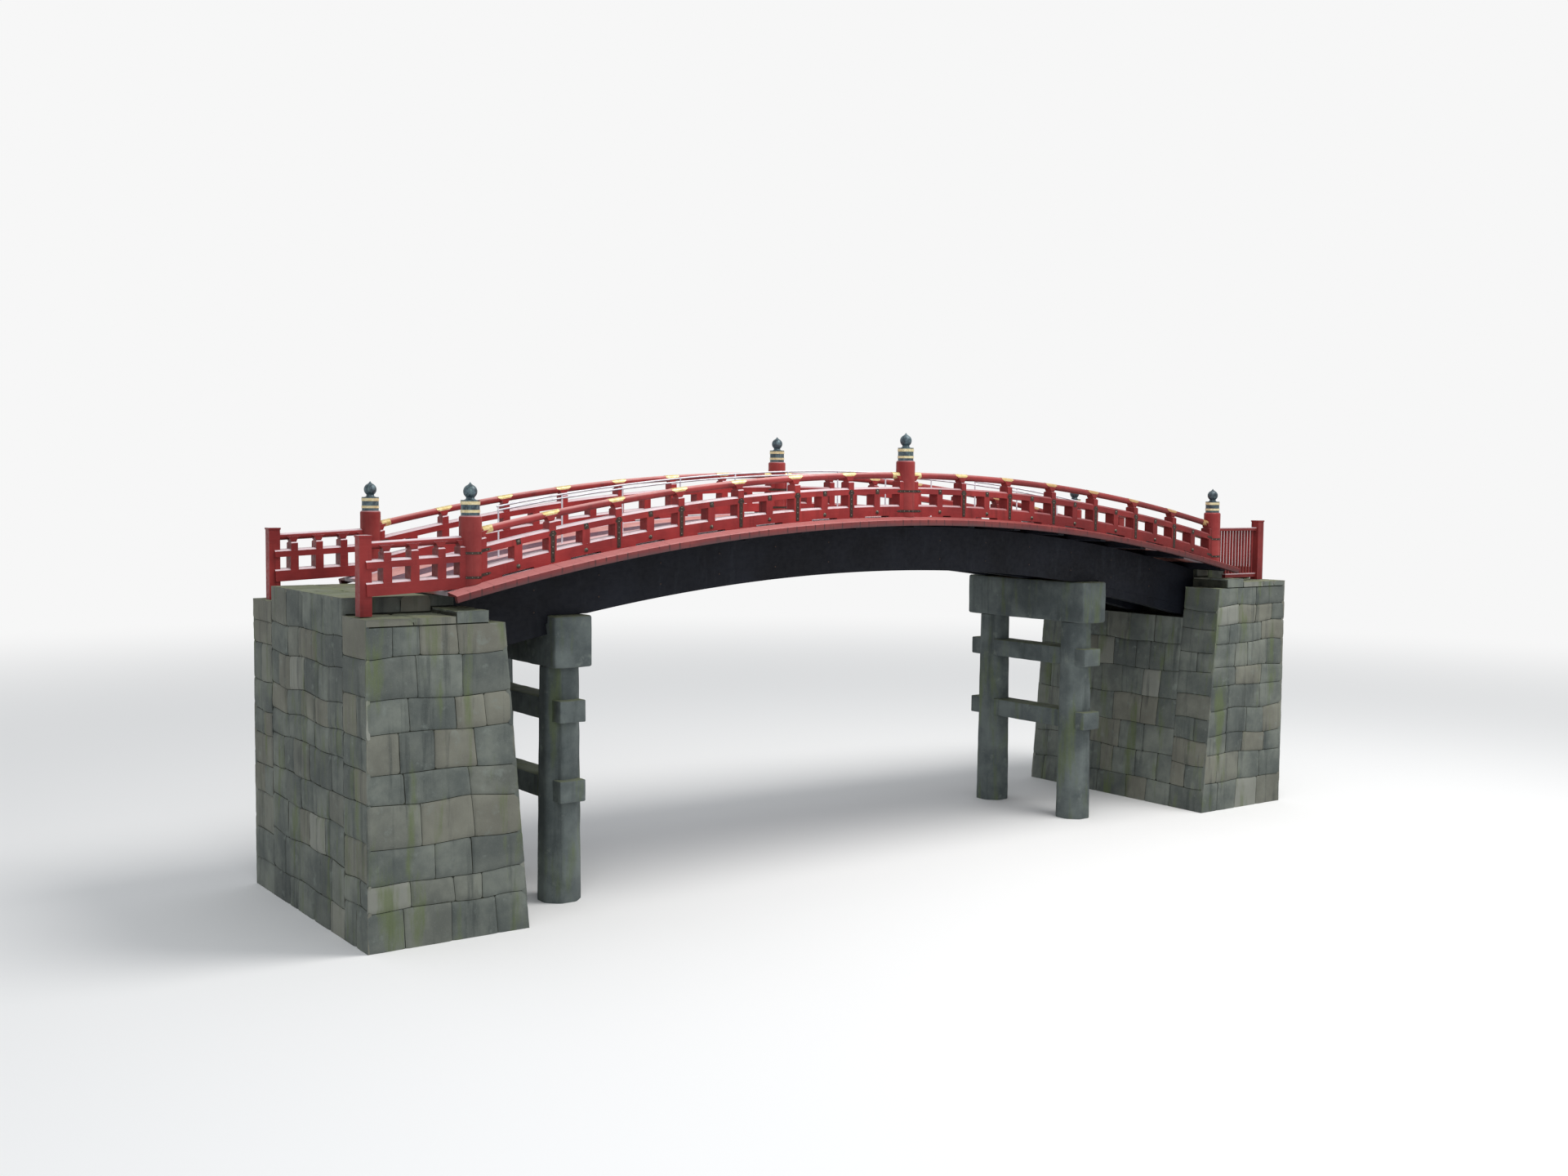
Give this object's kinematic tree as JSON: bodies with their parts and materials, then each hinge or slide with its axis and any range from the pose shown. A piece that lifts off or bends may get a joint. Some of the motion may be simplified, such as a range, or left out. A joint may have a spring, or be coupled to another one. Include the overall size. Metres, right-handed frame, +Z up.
{
  "type": "moon bridge",
  "caption": "Arched timber moon bridge with round top rails, onion-capped posts, black girders and stone post-and-beam piers.",
  "frame": {"origin": "middle of the box at floor level, under the middle post pair", "axes": "+X along the span to the right bank as seen in the picture, +Y across the bridge away from the camera, +Z up"},
  "size_m": [34.1, 8.3, 12.7493],
  "materials": {
    "lacquered_timber": "vermilion lacquer, worn",
    "deck_boards": "faded red lacquer",
    "black_timber": "black lacquer, dull",
    "cap_bronze": "dark patina",
    "gilt_brass": "gilt, weathered",
    "iron": "dark, dull",
    "pier_stone": "grey stone with moss",
    "steel_pipe": "painted silver"
  },
  "bodies": {
    "root": {"deck": "deck_boards", "deck_edge_near": "deck_boards", "deck_edge_far": "deck_boards", "joists": "black_timber", "girder_near": "black_timber", "girder_middle": "black_timber", "girder_far": "black_timber", "tail_beams_left": "black_timber", "tail_beams_right": "black_timber", "bottom_rail_near": "lacquered_timber", "bottom_rail_far": "lacquered_timber", "mid_rail_near": "lacquered_timber", "mid_rail_far": "lacquered_timber", "top_rail_near": "lacquered_timber", "top_rail_far": "lacquered_timber", "balusters_near": "lacquered_timber", "balusters_far": "lacquered_timber", "rail_blocks_near": "lacquered_timber", "rail_blocks_far": "lacquered_timber", "post_left_near": "lacquered_timber", "post_left_far": "lacquered_timber", "post_mid_near": "lacquered_timber", "post_mid_far": "lacquered_timber", "post_right_near": "lacquered_timber", "post_right_far": "lacquered_timber", "caps_near": "cap_bronze", "caps_far": "cap_bronze", "cap_bands": "gilt_brass", "post_straps": "iron", "baluster_straps": "iron", "rail_plates": "gilt_brass", "left_pier_cap": "pier_stone", "left_pier_columns": "pier_stone", "left_pier_ties": "pier_stone", "right_pier_cap": "pier_stone", "right_pier_columns": "pier_stone", "right_pier_ties": "pier_stone", "left_abutment": "pier_stone", "right_abutment": "pier_stone", "left_wing_near": "lacquered_timber", "left_wing_far": "lacquered_timber", "right_wing_near": "lacquered_timber", "right_wing_far": "lacquered_timber", "centre_handrail": "steel_pipe"}
  },
  "joints": []
}
